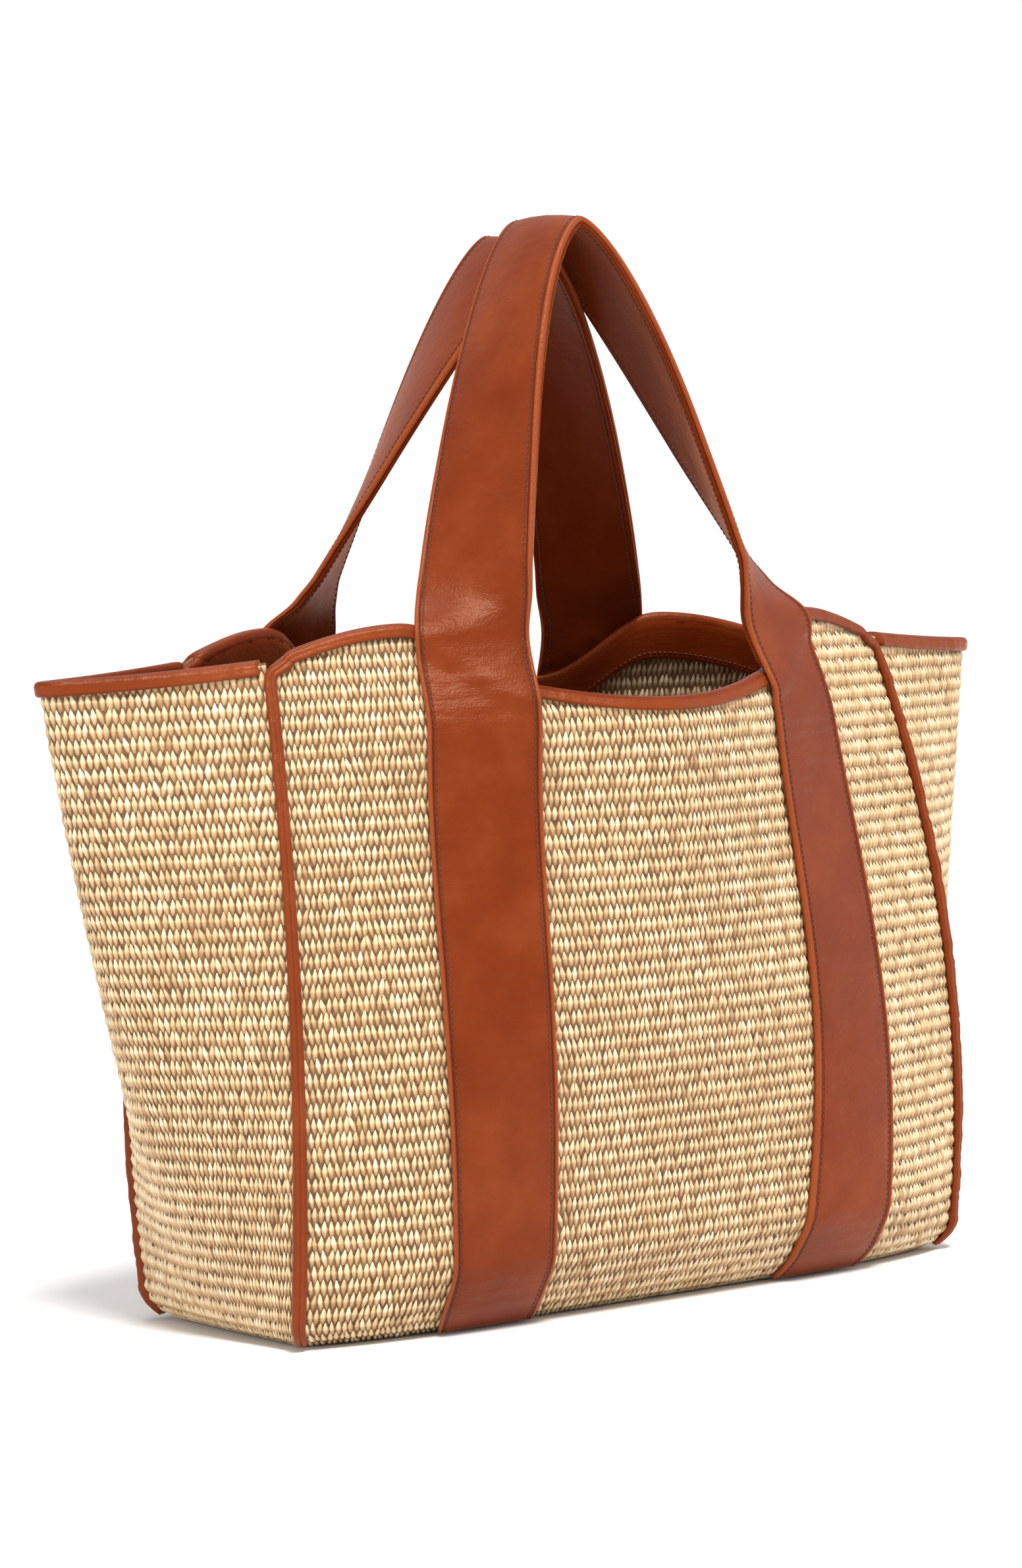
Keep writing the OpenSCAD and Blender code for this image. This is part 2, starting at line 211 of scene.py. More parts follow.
def panel_rim(side):
    """Height of the panel's rim above the base, before its binding."""
    reach = np.abs(side) * RIM_HALF
    share = np.clip((RIM_HALF - reach) / (RIM_HALF - OUTER_REACH), 0, 1)
    outer = CORNER_HEIGHT + RIM_RISE * np.sin(share * math.pi / 2)
    low = CORNER_HEIGHT + RIM_RISE - RIM_SCOOP
    inner = low - RIM_SAG * (1 - (reach / INNER_REACH) ** 2)
    f = smooth((reach - INNER_REACH) / (OUTER_REACH - INNER_REACH))
    return np.where(reach < INNER_REACH, inner, mix(low, outer, f))


def gusset_rim(side):
    return CORNER_HEIGHT - WING_DIP * (1 - side * side)


def corner_cut(side, half, radius):
    """How much lower the edge lies where the corners are rounded off."""
    into = np.clip(radius - (1 - np.abs(side)) * half, 0, radius)
    return radius - np.sqrt(radius * radius - into * into)


def cut_panel_rim(side):
    """Height of the straw's edge on a panel, whose upper corners are rounded off."""
    return panel_rim(side) - corner_cut(side, RIM_HALF, CORNER_ROUND)


def strap_side(offset, up):
    """Side position on the panel of a line that lies offset from a strap's middle."""
    v = wall_height(up, 0) / CORNER_HEIGHT
    middle = through_three(PITCHES, v) / 2 / half_width(v)
    x1, y1 = panel_plan(middle + SLOPE_STEP, v, 0)
    x0, y0 = panel_plan(middle - SLOPE_STEP, v, 0)
    lean = (x1 - x0) / np.hypot(x1 - x0, y1 - y0)
    return middle + offset * lean / half_width(v)


def strap_surface(offset, up, height):
    """Point of the right strap sewn to the front panel, height above the strap's underside."""
    side = strap_side(offset, up)
    below_rim = up - up_to(panel_rim(side)) + BINDING_HEIGHT + LIFT_LENGTH
    return panel_point(side, up, -SEWN_GAP - STRAP_LIFT * smooth(below_rim / LIFT_LENGTH) - height)


def handle_middle(t, arch):
    """Middle line of a handle: t -1 at its left foot, 0 at its top and 1 at its right foot."""
    rise = 1 - np.abs(t) ** arch[2]
    y = -mix(FOOT_OFFSET, arch[1], rise)
    return np.stack([FOOT_PITCH / 2 * t, y, mix(HANDLE_START, arch[0], rise)], -1)


def handle_ahead(t, arch):
    after = handle_middle(np.minimum(t + ARCH_STEP, 1), arch)
    before = handle_middle(np.maximum(t - ARCH_STEP, -1), arch)
    return unit(after - before)


def handle_aside(t, arch):
    """Direction across the handle: along the panel at the feet, front to back at the top."""
    ahead = handle_ahead(t, arch)
    rise = 1 - np.abs(t) ** arch[2]
    turn = 90 - (90 - LEG_TURN) * (1 - rise) ** arch[3]
    turn = np.radians(mix(FOOT_TURN, turn, smooth(rise / FOOT_SHARE)))
    tilt = np.radians(arch[4] * rise)
    side = np.where(t < 0, -1, 1)
    x, y = side * np.cos(turn) * np.cos(tilt), np.sin(turn) * np.cos(tilt)
    level = np.stack([x, y, -np.sin(tilt)], -1)
    along = np.sum(level * ahead, -1, keepdims=True) * ahead
    return unit(level - along * smooth(rise / SETTLE_SHARE)[..., None])


# ---------- meshes ----------

# Signs that bring the front or right piece to each place.
PLACES = {"front": (1, 1, 1), "back": (-1, -1, 1), "right": (1, 1, 1), "left": (-1, 1, 1)}


def make_mesh(name, points, faces, place="front", attributes=None):
    """Mesh object from points in millimetres; faces of a mirrored place are turned round."""
    sign = np.array(PLACES[place], float)
    points = np.asarray(points, float).reshape(-1, 3) * sign * MM
    faces = np.asarray(faces, np.int32)
    if np.prod(sign) < 0:
        faces = faces[:, ::-1]
    mesh = bpy.data.meshes.new(name)
    corners = faces.shape[1]
    mesh.vertices.add(len(points))
    mesh.vertices.foreach_set("co", points.astype(np.float32).ravel())
    mesh.loops.add(faces.size)
    mesh.loops.foreach_set("vertex_index", faces.ravel())
    mesh.polygons.add(len(faces))
    mesh.polygons.foreach_set("loop_start", np.arange(0, faces.size, corners, dtype=np.int32))
    mesh.polygons.foreach_set("loop_total", np.full(len(faces), corners, np.int32))
    for key, values in (attributes or {}).items():
        values = np.asarray(values, np.float32)
        kind = "FLOAT_VECTOR" if values.ndim == 2 else "FLOAT"
        layer = mesh.attributes.new(key, kind, "POINT")
        layer.data.foreach_set("vector" if values.ndim == 2 else "value", values.ravel())
    mesh.update(calc_edges=True)
    mesh.validate()
    mesh.polygons.foreach_set("use_smooth", np.ones(len(mesh.polygons), bool))
    obj = bpy.data.objects.new(name, mesh)
    bpy.context.scene.collection.objects.link(obj)
    return obj


def grid_faces(rows, columns, closed=False):
    """Quads of a grid of points, rows by columns; closed joins the last column to the first."""
    i = np.arange(rows - 1)[:, None] * columns
    last = columns if closed else columns - 1
    j = np.arange(last)[None, :]
    k = (j + 1) % columns
    return np.stack([i + j, i + k, i + columns + k, i + columns + j], -1).reshape(-1, 4)


def tube(name, rings, place="front", attributes=None):
    """Closed skin round a list of rings of equal size, with its two ends capped."""
    rings = np.asarray(rings, float)
    count, around = rings.shape[:2]
    middles = rings[[0, -1]].mean(1)
    points = np.concatenate([rings.reshape(-1, 3), middles])
    side = grid_faces(count, around, closed=True)
    j = np.arange(around)
    k = (j + 1) % around
    end = (count - 1) * around
    first = np.stack([k, j, np.full(around, count * around)], -1)
    last = np.stack([end + j, end + k, np.full(around, count * around + 1)], -1)
    faces = np.concatenate([side[:, [0, 1, 2]], side[:, [0, 2, 3]], first, last])
    if attributes:
        attributes = {key: np.append(values, [0, 0]) for key, values in attributes.items()}
    return make_mesh(name, points, faces, place, attributes)


# ---------- materials ----------


class Nodes:
    """A material's node tree with short calls for adding and joining nodes."""

    def __init__(self, name):
        self.material = bpy.data.materials.new(name)
        self.material.use_nodes = True
        self.tree = self.material.node_tree
        self.shader = self.tree.nodes["Principled BSDF"]

    def add(self, kind, inputs=None, **settings):
        node = self.tree.nodes.new(kind)
        for key, value in settings.items():
            setattr(node, key, value)
        for key, value in (inputs or {}).items():
            self.set(node.inputs[key], value)
        return node

    def set(self, socket, value):
        if isinstance(value, bpy.types.NodeSocket):
            self.tree.links.new(value, socket)
        else:
            socket.default_value = value

    def attribute(self, name):
        return self.add("ShaderNodeAttribute", attribute_name=name)

    def noise(self, vector, scale, detail=3.0, roughness=0.5):
        inputs = {"Vector": vector, "Scale": scale, "Detail": detail, "Roughness": roughness}
        return self.add("ShaderNodeTexNoise", inputs).outputs["Fac"]

    def math(self, operation, a, b=0.0, clamp=False):
        node = self.add("ShaderNodeMath", operation=operation, use_clamp=clamp)
        self.set(node.inputs[0], a)
        self.set(node.inputs[1], b)
        return node.outputs[0]

    def ramp(self, value, stops):
        node = self.add("ShaderNodeValToRGB", {"Fac": value})
        elements = node.color_ramp.elements
        while len(elements) < len(stops):
            elements.new(0.5)
        for element, (place, color) in zip(elements, stops):
            element.position = place
            element.color = (*color, 1)
        return node.outputs["Color"]

    def blend(self, fac, a, b, mode="MIX"):
        node = self.add("ShaderNodeMix", data_type="RGBA", blend_type=mode)
        self.set(node.inputs["Factor"], fac)
        self.set(node.inputs["A"], a)
        self.set(node.inputs["B"], b)
        return node.outputs["Result"]

    def bump(self, height, strength, distance, normal=None):
        inputs = {"Height": height, "Strength": strength, "Distance": distance}
        if normal is not None:
            inputs["Normal"] = normal
        return self.add("ShaderNodeBump", inputs).outputs["Normal"]

    def object_coordinates(self):
        return self.add("ShaderNodeTexCoord").outputs["Object"]

    def stretched(self, vector, scale):
        return self.add("ShaderNodeMapping", {"Vector": vector, "Scale": scale}).outputs["Vector"]


def straw_material(name, inside_shade):
    """Dry straw: pale lozenges with fine lengthwise fibres, each a little different in tone."""
    m = Nodes(name)
    fibre = m.attribute("fibre").outputs["Vector"]
    tone = m.attribute("tone").outputs["Fac"]
    streak = m.noise(m.stretched(fibre, (2.2, 0.22, 1.0)), scale=1.6, detail=4.0, roughness=0.6)
    fine = m.noise(m.stretched(fibre, (7.0, 0.5, 1.0)), scale=2.0, detail=2.0, roughness=0.5)
    patch = m.noise(m.object_coordinates(), scale=28.0, detail=3.0, roughness=0.6)
    mixed = m.math("ADD", m.math("MULTIPLY", tone, 0.55), m.math("MULTIPLY", streak, 0.45))
    mixed = m.math("ADD", mixed, m.math("MULTIPLY", m.math("SUBTRACT", patch, 0.5), 0.35))
    # The inner face takes a darker copy of the straw: painted shade inside the bag.
    color = m.ramp(mixed, STRAW_SHADED_INSIDE if inside_shade else STRAW_STOPS)
    # Painted shade: each stitch darker towards its lower tip, which sinks behind the row below, and
    # darker at its flanks, between its neighbours.
    for attribute, stops in (("tip", TIP_PAINTED_SHADE), ("flank", FLANK_PAINTED_SHADE)):
        shade = m.ramp(m.attribute(attribute).outputs["Fac"], stops)
        color = m.blend(1.0, color, shade, "MULTIPLY")
    m.set(m.shader.inputs["Base Color"], color)
    m.set(m.shader.inputs["Roughness"], m.math("ADD", m.math("MULTIPLY", streak, 0.3), 0.28))
    relief = m.bump(m.math("ADD", streak, fine), strength=0.5, distance=0.0003)
    m.set(m.shader.inputs["Normal"], relief)
    m.shader.inputs["Specular IOR Level"].default_value = 0.6
    return m.material


def ground_material():
    """Sheet seen in the gaps between the stitches, painted dark brown as the shade in those gaps."""
    m = Nodes("straw_ground_shade")
    place = m.stretched(m.object_coordinates(), (1.0, 1.0, 0.4))
    speck = m.noise(place, scale=420.0, detail=3.0, roughness=0.6)
    m.set(m.shader.inputs["Base Color"], m.ramp(speck, GROUND_SHADE_STOPS))
    m.set(m.shader.inputs["Normal"], m.bump(speck, strength=0.5, distance=0.0005))
    m.shader.inputs["Roughness"].default_value = 0.8
    return m.material


def leather_material(name, dark, middle, light, gloss, specular, sheen):
    """Smooth leather with fine grain and soft mottling; raised edges paler, partly wear and partly
    painted highlight; grooves darker with painted shade.
    """
    m = Nodes(name)
    place = m.object_coordinates()
    mottle = m.noise(place, scale=45.0, detail=5.0, roughness=0.6)
    cloud = m.noise(place, scale=11.0, detail=2.0, roughness=0.5)
    grain = m.noise(place, scale=1500.0, detail=3.0, roughness=0.6)
    pores = m.add("ShaderNodeTexVoronoi", {"Vector": place, "Scale": 1100.0}).outputs["Distance"]
    dents = m.noise(place, scale=30.0, detail=2.0, roughness=0.5)
    lengthwise = m.stretched(place, (1.0, 1.0, 2.6))
    crease = m.noise(lengthwise, scale=130.0, detail=4.0, roughness=0.65)
    edge = m.attribute("edge").outputs["Fac"]
    tone = m.math("ADD", m.math("MULTIPLY", mottle, 0.5), m.math("MULTIPLY", cloud, 0.5))
    color = m.ramp(tone, ((0.28, dark), (0.5, middle), (0.74, light)))
    # Raised edges blend towards a paler colour: partly wear, partly painted highlight.
    raised = m.math("MULTIPLY", m.math("MAXIMUM", edge, 0.0), EDGE_WEAR_AND_HIGHLIGHT)
    color = m.blend(raised, color, (*EDGE_PALE_AND_HIGHLIGHT, 1))
    # Grooves blend darker: painted shade.
    groove = m.math("MULTIPLY", m.math("MAXIMUM", m.math("MULTIPLY", edge, -1.0), 0.0), GROOVE_SHADE_AMOUNT)
    color = m.blend(groove, color, (*[channel * GROOVE_SHADE_DARKNESS for channel in dark], 1))
    m.set(m.shader.inputs["Base Color"], color)
    rough = m.math("ADD", m.math("MULTIPLY", mottle, 0.22), gloss)
    m.set(m.shader.inputs["Roughness"], m.math("ADD", rough, m.math("MULTIPLY", grain, 0.08)))
    pitted = m.math("ADD", grain, m.math("MULTIPLY", pores, 0.7))
    relief = m.bump(pitted, strength=0.22, distance=0.00035)
    relief = m.bump(dents, strength=0.35, distance=0.004, normal=relief)
    relief = m.bump(crease, strength=0.4, distance=0.0010, normal=relief)
    m.set(m.shader.inputs["Normal"], relief)
    m.shader.inputs["Specular IOR Level"].default_value = specular
    m.shader.inputs["Specular Tint"].default_value = (*GLOSS_TINT, 1)
    m.shader.inputs["Sheen Weight"].default_value = sheen
    m.shader.inputs["Sheen Roughness"].default_value = 0.35
    m.shader.inputs["Sheen Tint"].default_value = (*SHEEN_TINT, 1)
    return m.material


def thread_material():
    """Dark waxed thread with a fine twist."""
    m = Nodes("thread")
    twist = m.noise(m.object_coordinates(), scale=1800.0, detail=2.0, roughness=0.5)
    m.set(m.shader.inputs["Base Color"], m.ramp(twist, THREAD_STOPS))
    m.set(m.shader.inputs["Normal"], m.bump(twist, strength=0.5, distance=0.0002))
    m.shader.inputs["Roughness"].default_value = 0.5
    return m.material


# Colour stops: each a place on the ramp and its colour.
STRAW_STOPS = (
    (0.22, (0.49, 0.31, 0.140)),
    (0.42, (0.73, 0.53, 0.29)),
    (0.60, (0.87, 0.69, 0.43)),
    (0.80, (0.96, 0.86, 0.63)),
)
# Darker copy of the straw for its inner face: painted shade inside the bag.
STRAW_SHADED_INSIDE = (
    (0.22, (0.30, 0.20, 0.11)),
    (0.42, (0.46, 0.33, 0.19)),
    (0.60, (0.56, 0.42, 0.26)),
    (0.80, (0.66, 0.53, 0.35)),
)
# Painted shade along each stitch, darkest at its lower tip.
TIP_PAINTED_SHADE = (
    (0.05, (0.36, 0.21, 0.11)),
    (0.28, (0.60, 0.46, 0.33)),
    (0.52, (0.80, 0.70, 0.58)),
    (0.62, (1, 1, 1)),
)
# Painted shade across each stitch, darkest at its flanks where it meets its neighbours.
FLANK_PAINTED_SHADE = ((0.45, (1, 1, 1)), (1.0, (0.50, 0.38, 0.28)))
# Painted shade of the gaps between the stitches.
GROUND_SHADE_STOPS = ((0.3, (0.10, 0.045, 0.016)), (0.7, (0.25, 0.125, 0.05)))
THREAD_STOPS = ((0.3, (0.045, 0.010, 0.006)), (0.7, (0.13, 0.032, 0.016)))
# Paler colour of raised edges and how much of it: partly wear, partly painted highlight.
EDGE_PALE_AND_HIGHLIGHT, EDGE_WEAR_AND_HIGHLIGHT = (0.30, 0.062, 0.016), 0.75
# Darkening in the grooves: painted shade.
GROOVE_SHADE_DARKNESS, GROOVE_SHADE_AMOUNT = 0.25, 0.8
GLOSS_TINT, SHEEN_TINT = (1.0, 0.62, 0.42), (0.95, 0.30, 0.12)
# Dark, middle and light tone of each leather.
COGNAC = ((0.135, 0.017, 0.002), (0.175, 0.025, 0.004), (0.235, 0.044, 0.010))
# The lining's cognac leather, painted darker as the shade on the handles' inner faces and inside the
# rim.
SHADED_COGNAC = ((0.105, 0.011, 0.001), (0.135, 0.016, 0.002), (0.175, 0.026, 0.005))

straw = straw_material("straw", inside_shade=False)
inner_straw = straw_material("inner_straw", inside_shade=True)
ground = ground_material()
leather = leather_material("leather", *COGNAC, gloss=0.20, specular=0.26, sheen=0.20)
lining_leather = leather_material("lining_leather", *SHADED_COGNAC, gloss=0.30, specular=0.04, sheen=0.90)
thread = thread_material()


def finish_piece(obj, material, body="bag"):
    """Gives a piece its material and slot, and its body if one is given."""
    obj.data.materials.append(material)
    if body:
        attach(obj, body)


# ---------- woven straw ----------

ROW_PITCH, STITCH_LENGTH = 6.2, 8.9
STITCH_RINGS = np.array([0.09, 0.34, 0.60, 0.82])  # shares of the length, from the lower tip
STITCH_WIDTHS = np.array([0.44, 0.88, 1.04, 0.72])
STITCH_CROWNS = np.array([1.25, 0.58, 0.04, 0.50])  # depth of the crown at each ring
STITCH_COLUMNS = np.array([-1.0, -0.42, 0.42, 1.0])
EDGE_DROP, EDGE_POWER = 1.0, 2.2
LOWER_TIP_DEPTH, UPPER_TIP_DEPTH = 1.7, 1.15
LOWER_TIP_FLANK, UPPER_TIP_FLANK = 0.5, 0.4
# How much the stitches differ in size and slope, in place (millimetres), and in tone and fibre.
WIDTH_RANGE, LENGTH_RANGE, LEAN_SPREAD = (0.90, 1.10), (0.94, 1.06), 0.10
ASIDE_SPREAD, HEIGHT_SPREAD, DEPTH_SPREAD = 0.10, 0.16, 0.10
TONE_MIDDLE, TONE_SPREAD, FIBRE_SHIFTS = 0.5, 0.17, 50
ROW_SAMPLES, ROW_START, ROW_MARGIN = 241, 0.25, 0.4  # the margin keeps stitches off the seams
RIM_MARGIN, SHORTEST_STITCH = 1.0, 2.0


def stitch_template():
    """One pointed stitch: across, along and flank as shares, depth in millimetres, and faces."""
    across, along, depth, flank = [0.0], [0.0], [LOWER_TIP_DEPTH], [LOWER_TIP_FLANK]
    for share, width, crown in zip(STITCH_RINGS, STITCH_WIDTHS, STITCH_CROWNS):
        for column in STITCH_COLUMNS:
            across.append(column * width)
            along.append(share)
            depth.append(crown + EDGE_DROP * abs(column) ** EDGE_POWER)
            flank.append(abs(column))
    across.append(0.0)
    along.append(1.0)
    depth.append(UPPER_TIP_DEPTH)
    flank.append(UPPER_TIP_FLANK)
    columns, rings = len(STITCH_COLUMNS), len(STITCH_RINGS)
    faces = []
    for j in range(columns - 1):
        faces.append([0, 1 + j + 1, 1 + j])
        for i in range(rings - 1):
            a = 1 + i * columns + j
            faces.append([a, a + 1, a + 1 + columns])
            faces.append([a, a + 1 + columns, a + columns])
        a = 1 + (rings - 1) * columns + j
        faces.append([a, a + 1, 1 + rings * columns])
    return np.array(across), np.array(along), np.array(depth), np.array(flank), np.array(faces)


STITCH = stitch_template()


def row_places(point, up, count, shift):
    """Where count stitches lie along a row, and the row's side positions with their distances."""
    sides = np.linspace(-1, 1, ROW_SAMPLES)
    length = run_along(point(sides, up, 0.0))
    places = (np.arange(count + 1) + shift - ROW_START) / count * length[-1]
    places = places[(places > ROW_MARGIN) & (places < length[-1] - ROW_MARGIN)]
    return places, sides, length


def stitch_row(point, up, count, shift, inside, rim):
    """Points, tones and fibre directions of one row of stitches, cut off under the rim."""
    across, along, depth = STITCH[:3]
    places, sides, length = row_places(point, up, count, shift)
    n = len(places)
    half = length[-1] / count / 2 * RNG.uniform(*WIDTH_RANGE, n)
    reach = STITCH_LENGTH * RNG.uniform(*LENGTH_RANGE, n)
    lean = RNG.normal(0, LEAN_SPREAD, n)
    centre = places + RNG.normal(0, ASIDE_SPREAD, n)
    ahead = (along[None] - 0.5) * reach[:, None]
    aside = centre[:, None] + across[None] * half[:, None] + lean[:, None] * ahead
    side = np.interp(aside, length, sides)
    height = up + RNG.normal(0, HEIGHT_SPREAD, n)[:, None] + ahead
    deep = depth[None] + RNG.normal(0, DEPTH_SPREAD, n)[:, None]
    if rim is not None:
        top = up_to(rim(side)) - RIM_MARGIN
        kept = height[:, 0] < top[:, 0] - SHORTEST_STITCH
        side, deep, half, ahead = side[kept], deep[kept], half[kept], ahead[kept]
        height = np.clip(height[kept], 0.0, top[kept])
    deep = np.maximum(deep, 0.0)
    if inside:
        deep = WEAVE - deep
    tone = RNG.normal(TONE_MIDDLE, TONE_SPREAD, len(half))[:, None]
    start = RNG.uniform(0, FIBRE_SHIFTS, len(half))[:, None]
    fibre = np.stack(np.broadcast_arrays(across[None] * half[:, None] + start, ahead, start), -1)
    return point(side, height, deep), np.repeat(tone, len(across), 1), fibre


def weave(name, point, rows, count, place, inside=False, rim=None):
    """All stitches of one face of a woven sheet, as one mesh of separate pointed lozenges."""
    _, along, _, flank, faces = STITCH
    made = [stitch_row(point, up, count, k % 2 / 2, inside, rim) for k, up in enumerate(rows)]
    points, tones, fibres = (np.concatenate(parts) for parts in zip(*made))
    stitches = len(points)
    if inside:
        faces = faces[:, ::-1]
    every = (faces[None] + (np.arange(stitches) * len(along))[:, None, None]).reshape(-1, 3)
    attributes = {
        "tone": tones.ravel(),
        "tip": np.tile(along, stitches),
        "fibre": fibres.reshape(-1, 3),
        "flank": np.tile(flank, stitches),
    }
    return make_mesh(name, points, every, place, attributes)


GROUND_INSET = 1.1  # from each face of the straw to the ground sheet inside it
SHEET_ACROSS, SHEET_ROLL, SHEET_UP = 97, 4, 60  # points of a wall's ground sheet each way
RIM_SAMPLES, FIRST_ROW = 41, 0.6


def sheet_grid(point, rim, depth):
    """Points of a wall's ground sheet at one depth, from the base to the rim."""
    sides = np.linspace(-1, 1, SHEET_ACROSS)
    tops = up_to(rim(sides))
    roll = np.linspace(0, ROLL_LENGTH, SHEET_ROLL, endpoint=False)
    shares = np.linspace(0, 1, SHEET_UP)
    ups = np.concatenate([
        np.repeat(roll[None], SHEET_ACROSS, 0),
        ROLL_LENGTH + (tops[:, None] - ROLL_LENGTH) * shares[None],
    ], 1)
    return point(sides[:, None], ups, depth)


def shell(name, outer, inner, place):
    """Closed thin shell between two grids of points."""
    n, m = outer.shape[:2]
    skin = grid_faces(n, m)[:, ::-1]
    back = skin[:, ::-1] + n * m
    edge = np.concatenate([
        np.arange(m), np.arange(2 * m - 1, n * m, m),
        np.arange(n * m - 2, n * m - m - 1, -1), np.arange(n * m - 2 * m, 0, -m),
    ])
    after = np.roll(edge, -1)
    rim = np.stack([after + n * m, edge + n * m, edge, after], -1)
    points = np.concatenate([outer.reshape(-1, 3), inner.reshape(-1, 3)])
    return make_mesh(name, points, np.concatenate([skin, back, rim]), place)


def woven_sheet(node, layers, cloth):
    """A thin ground sheet with stitches on its outer and inner face."""
    core = shell(node + "_ground", *layers, cloth["place"])
    finish_piece(core, ground)
    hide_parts(node)
    outer = weave(node + "_outer_weave", **cloth)
    finish_piece(outer, straw)
    inner = weave(node + "_inner_weave", **cloth, inside=True)
    finish_piece(inner, inner_straw)


def woven_wall(node, point, rim, count, place):
    layers = [sheet_grid(point, rim, depth) for depth in (GROUND_INSET, WEAVE - GROUND_INSET)]
    top = up_to(rim(np.linspace(-1, 1, RIM_SAMPLES)).max())
    rows = np.arange(ROW_PITCH * FIRST_ROW, top - RIM_MARGIN, ROW_PITCH)
    cloth = {"point": point, "rows": rows, "count": count, "place": place, "rim": rim}
    woven_sheet(node, layers, cloth)


PANEL_STITCHES, GUSSET_STITCHES = 136, 64
for panel, where in (("front_panel", "front"), ("back_panel", "back")):
    woven_wall(panel, panel_point, cut_panel_rim, PANEL_STITCHES, where)
for gusset, where in (("right_gusset", "right"), ("left_gusset", "left")):
    woven_wall(gusset, gusset_point, gusset_rim, GUSSET_STITCHES, where)

# ---------- woven base ----------

BASE_HALF = -panel_plan(0.0, 0.0, float(ROLL_RADIUS))[1]
BASE_ACROSS, BASE_UP = 49, 25  # points of its ground sheet each way
BASE_FIRST_ROW, BASE_LAST_ROW = 0.7, 0.5


def base_surface(side, up, depth):
    """Point of the base: side -1..1 along X, up in millimetres behind its middle line."""
    return base_point(side, np.asarray(up, float) / BASE_HALF, depth)


def woven_base():
    sides = np.linspace(-1, 1, BASE_ACROSS)[:, None]
    ups = np.linspace(-BASE_HALF, BASE_HALF, BASE_UP)[None]
    layers = [base_surface(sides, ups, depth) for depth in (WEAVE - GROUND_INSET, GROUND_INSET)]
    first = -BASE_HALF + ROW_PITCH * BASE_FIRST_ROW
    rows = np.arange(first, BASE_HALF - ROW_PITCH * BASE_LAST_ROW, ROW_PITCH)
    cloth = {"point": base_surface, "rows": rows, "count": PANEL_STITCHES, "place": "front"}
    woven_sheet("base_panel", layers, cloth)


woven_base()

# ---------- leather bindings ----------

SECTION_OUT = np.array([  # distance in from the edge, as a share of the strip's width, and depth
    (1.00, 0.15), (1.01, -0.75), (0.93, -1.40), (0.78, -1.75), (0.62, -1.72), (0.48, -1.68),
    (0.34, -1.72), (0.18, -1.75), (0.02, -1.45), (-0.16, -0.85), (-0.28, 0.2), (-0.31, 1.5),
    (-0.28, 2.8), (-0.16, 3.9), (0.05, 4.5), (0.40, 4.75), (0.80, 4.7), (0.97, 4.2), (1.00, 3.05),
    (0.20, 2.9), (0.20, 0.1),
])
SEAM_STRIP, RIM_STRIP, WING_STRIP = 3.9, 4.6, 5.1  # widths of the folded strips
RIDGE_GROOVE, GROOVE_PLACE, GROOVE_WIDTH = 0.75, 0.48, 0.10
# The binding's outermost crest is paler: partly wear, partly painted highlight.
RIDGE_DEPTH, RIDGE_WEAR_AND_HIGHLIGHT = -1.5, 0.35
GATHERS, GATHER_DEPTH, GATHER_FROM, INNER_GATHER = (2.1, 5.0), 0.10, 1.0, 0.5
SEAM_POINTS, CORNER_POINTS, RIM_POINTS = 60, 9, 90
PATH_STEP, SMOOTHED = 1.3, 7  # step of a path in millimetres and how many points are averaged
WING_END, WING_SAMPLES = 0.975, 301
PANEL_SEED, WING_SEED = 11, 23


def along_path(points, step):
    """Points of a polyline in (across, up) millimetres, evenly spaced."""
    points = np.asarray(points, float)
    run = run_along(points)
    wanted = np.linspace(0, run[-1], int(run[-1] / step) + 1)
    return np.stack([np.interp(wanted, run, points[:, k]) for k in (0, 1)], -1), wanted


def wrinkles(run, seed, scale, strength):
    """Smooth seeded variation along a path, with a knot every scale, for gathers in leather."""
    rng = np.random.default_rng(seed)
    count = int(run[-1] / scale) + 3
    knots = rng.normal(0, strength, count)
    at = run / scale
    i = at.astype(int)
    return mix(knots[i], knots[i + 1], smooth(at - i))


def panel_outline():
    """Edge of the panel from the left seam over the rim to the right one, and the ways inward."""
    top = up_to(CORNER_HEIGHT)
    arc = np.radians(np.linspace(0, 90, CORNER_POINTS))[1:]
    seam = [(-RIM_HALF, u) for u in np.linspace(FOOT, top - CORNER_ROUND, SEAM_POINTS)]
    corner = np.stack([CORNER_ROUND * (1 - np.cos(arc)) - RIM_HALF,
                       top - CORNER_ROUND * (1 - np.sin(arc))], -1)
    across = np.linspace(CORNER_ROUND + 1 - RIM_HALF, 0, RIM_POINTS)
    rim = [(x, up_to(panel_rim(x / RIM_HALF))) for x in across]
    left = np.concatenate([seam, corner, rim])
    even, run = along_path(np.concatenate([left, left[-2::-1] * [-1, 1]]), PATH_STEP)
    padded = np.pad(even[:, 1], SMOOTHED // 2, "reflect", reflect_type="odd")
    even[:, 1] = np.convolve(padded, np.ones(SMOOTHED) / SMOOTHED, "valid")
    ahead = unit(np.gradient(even, axis=0))
    inward = np.stack([ahead[:, 1], -ahead[:, 0]], -1)
    return even, inward, run


def binding_rings(point, even, inward, run, half, width, groove, seed):
    """Rings of the rounded strip folded over an edge, grooved along its middle outside."""
    share, depth = SECTION_OUT[:, 0], SECTION_OUT[:, 1]
    outside = depth < 0
    gather = sum(wrinkles(run, seed + k, scale, GATHER_DEPTH) for k, scale in enumerate(GATHERS))
    middle = np.exp(-(((share - GROOVE_PLACE) / GROOVE_WIDTH) ** 2)) * outside
    swell = gather[:, None] * np.where(outside, -1.0, INNER_GATHER)[None]
    deep = depth[None] + groove[:, None] * middle[None] + swell * (np.abs(depth) > GATHER_FROM)[None]
    far = width[:, None] * share[None]
    place = even[:, None, :] + inward[:, None, :] * far[..., None]
    return point(place[..., 0] / half, place[..., 1], deep)


